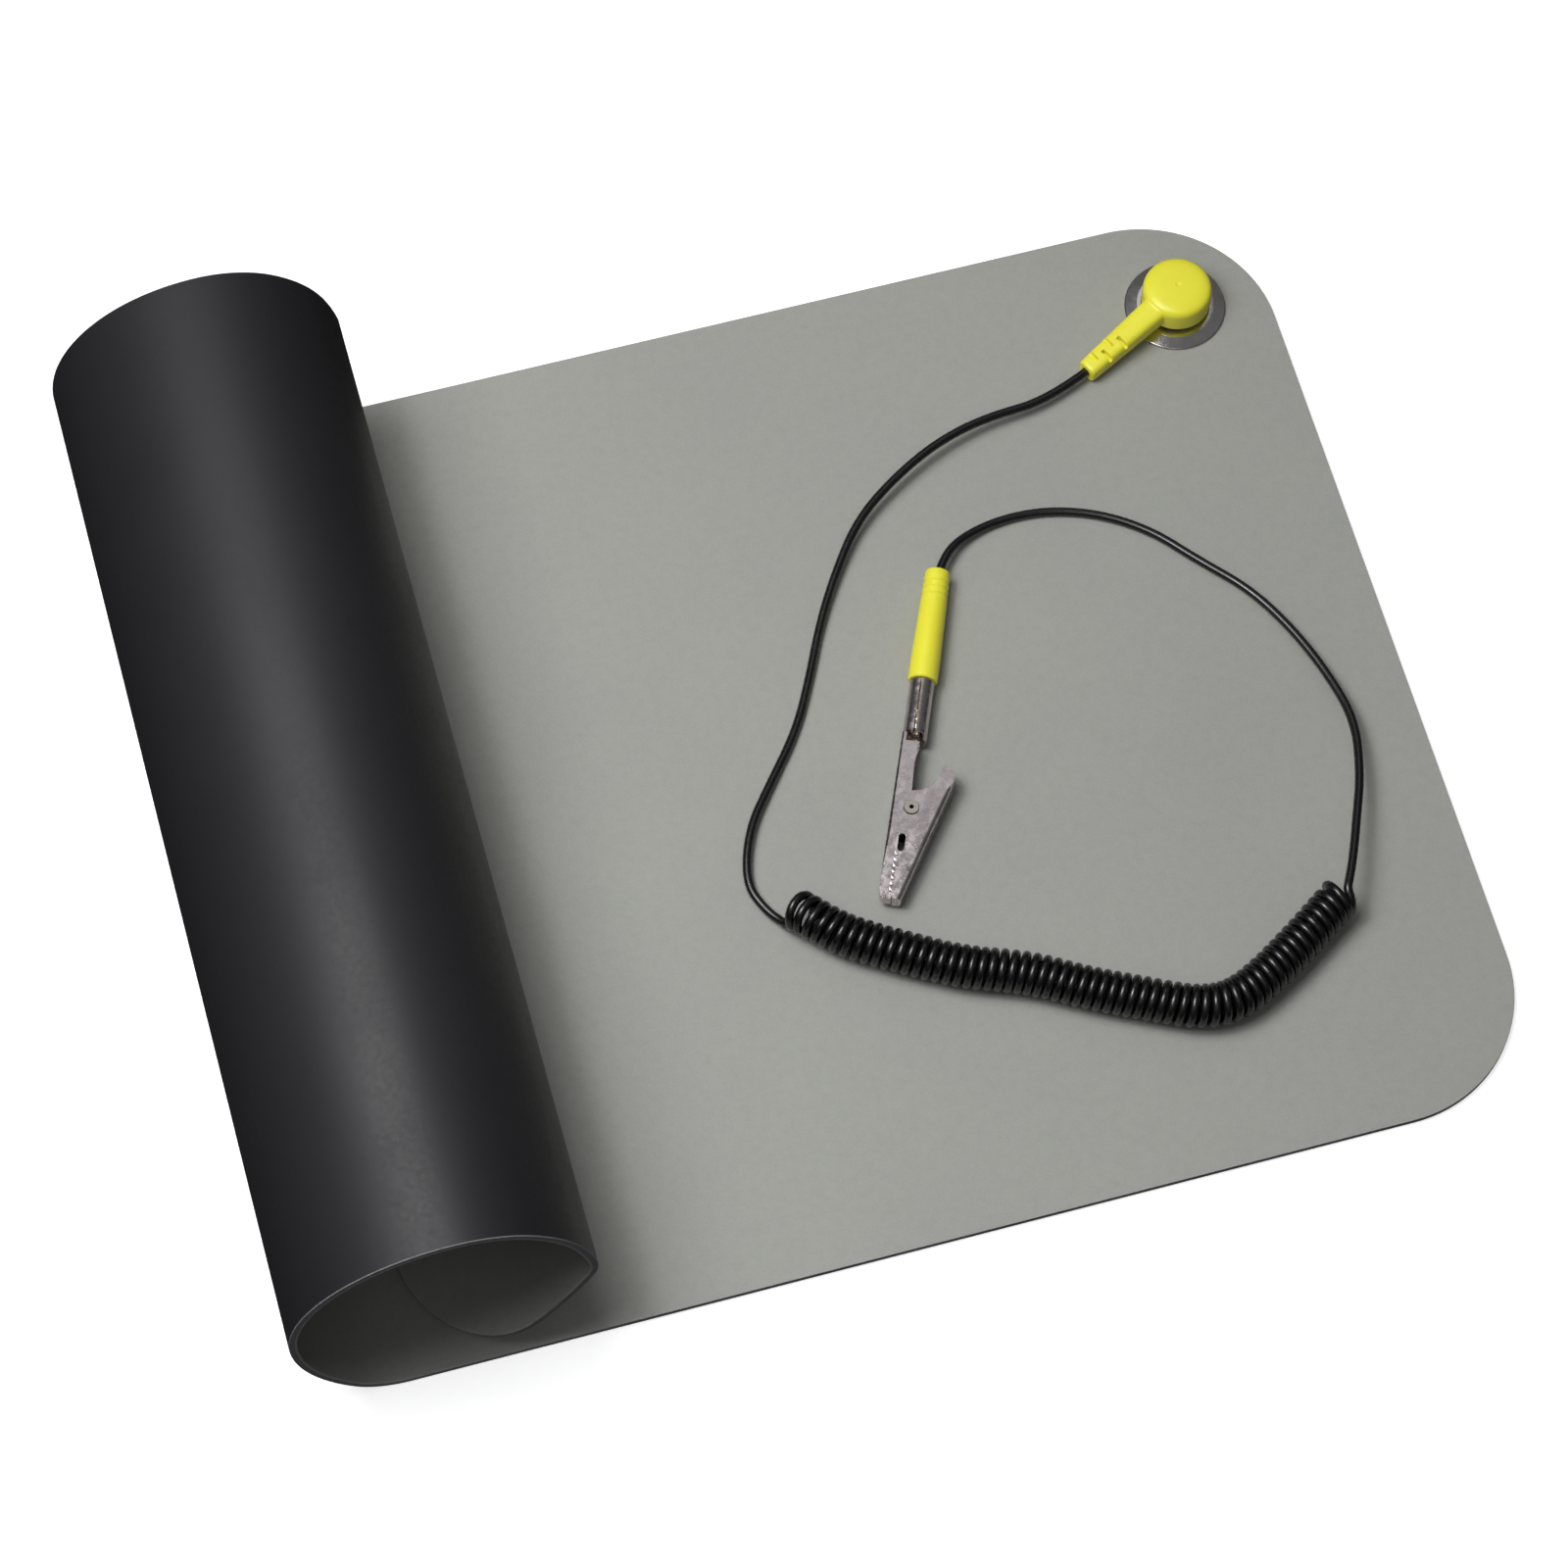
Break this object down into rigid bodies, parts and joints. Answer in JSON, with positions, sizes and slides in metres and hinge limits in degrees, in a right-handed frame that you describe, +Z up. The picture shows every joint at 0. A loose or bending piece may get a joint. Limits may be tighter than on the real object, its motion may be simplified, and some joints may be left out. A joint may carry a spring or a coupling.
{
  "type": "esd bench mat with ground lead",
  "caption": "Anti-static bench mat, rolled at one end, with a press-stud in a corner and a coiled ground lead snapped on that ends in a plug with an alligator clip.",
  "frame": {"origin": "on the surface the mat lies on, under the middle of the mat's outline", "axes": "+X from the roll to the flat end with the stud, +Y across the mat towards the edge nearest the stud, +Z up"},
  "size_m": [0.3018, 0.25, 0.0803],
  "materials": {
    "black_rubber": "satin",
    "grey_rubber": "matte",
    "bright_plate": "polished",
    "nickel_steel": "satin",
    "spring_steel": "satin",
    "brass": "satin",
    "tinned_brass": "satin",
    "resistor_lacquer": "gloss",
    "tinned_wire": "satin",
    "copper_strand": "satin",
    "yellow_plastic": "satin",
    "cord_jacket": "gloss",
    "nickel_brass": "polished",
    "clip_steel": "satin"
  },
  "bodies": {
    "mat": {"mat_base_layer": "black_rubber", "mat_top_layer": "grey_rubber", "stud_washer": "bright_plate", "ground_stud": "bright_plate", "stud_rivet": "nickel_steel"},
    "snap_grip": {"snap_spring_ring": "spring_steel"},
    "lead": {"snap_socket": "nickel_steel", "socket_eyelet": "brass", "ring_terminal": "tinned_brass", "series_resistor": "resistor_lacquer", "resistor_leads": "tinned_wire", "snap_end_conductor": "copper_strand", "snap_head": "yellow_plastic", "cord_lead_snap": "cord_jacket", "cord_coil": "cord_jacket", "cord_lead_clip": "cord_jacket", "plug_sleeve": "yellow_plastic", "banana_plug_pin": "nickel_brass", "banana_spring_leaves": "nickel_brass", "plug_end_conductor": "copper_strand"},
    "clip": {"clip_fixed_jaw": "clip_steel", "clip_pivot_rivet": "nickel_steel", "clip_torsion_spring": "spring_steel"},
    "clip_jaw": {"clip_moving_jaw": "clip_steel"}
  },
  "joints": [
    {"name": "snap_pull_off", "type": "slide", "parent": "mat", "child": "snap_grip", "axis": [0, 0, 1], "range_m": [0, 0.025], "deforming": ["snap_spring_ring"]},
    {"name": "snap_swivel", "type": "hinge", "parent": "snap_grip", "child": "lead", "pos_m": [0.1273, 0.0998, 0.004], "axis": [0, 0, 1], "continuous": true},
    {"name": "clip_twist", "type": "hinge", "parent": "lead", "child": "clip", "pos_m": [0.0479, 0.0409, 0.006], "axis": [-0.3949, -0.9187, 0], "range_deg": [0, 180]},
    {"name": "clip_squeeze", "type": "hinge", "parent": "clip", "child": "clip_jaw", "pos_m": [0.02369, -0.01972, 0.006], "axis": [0, 0, 1], "range_deg": [0, 25], "stiffness_Nm_per_rad": 0.05, "springref_deg": -34.38, "deforming": ["clip_torsion_spring"]}
  ]
}
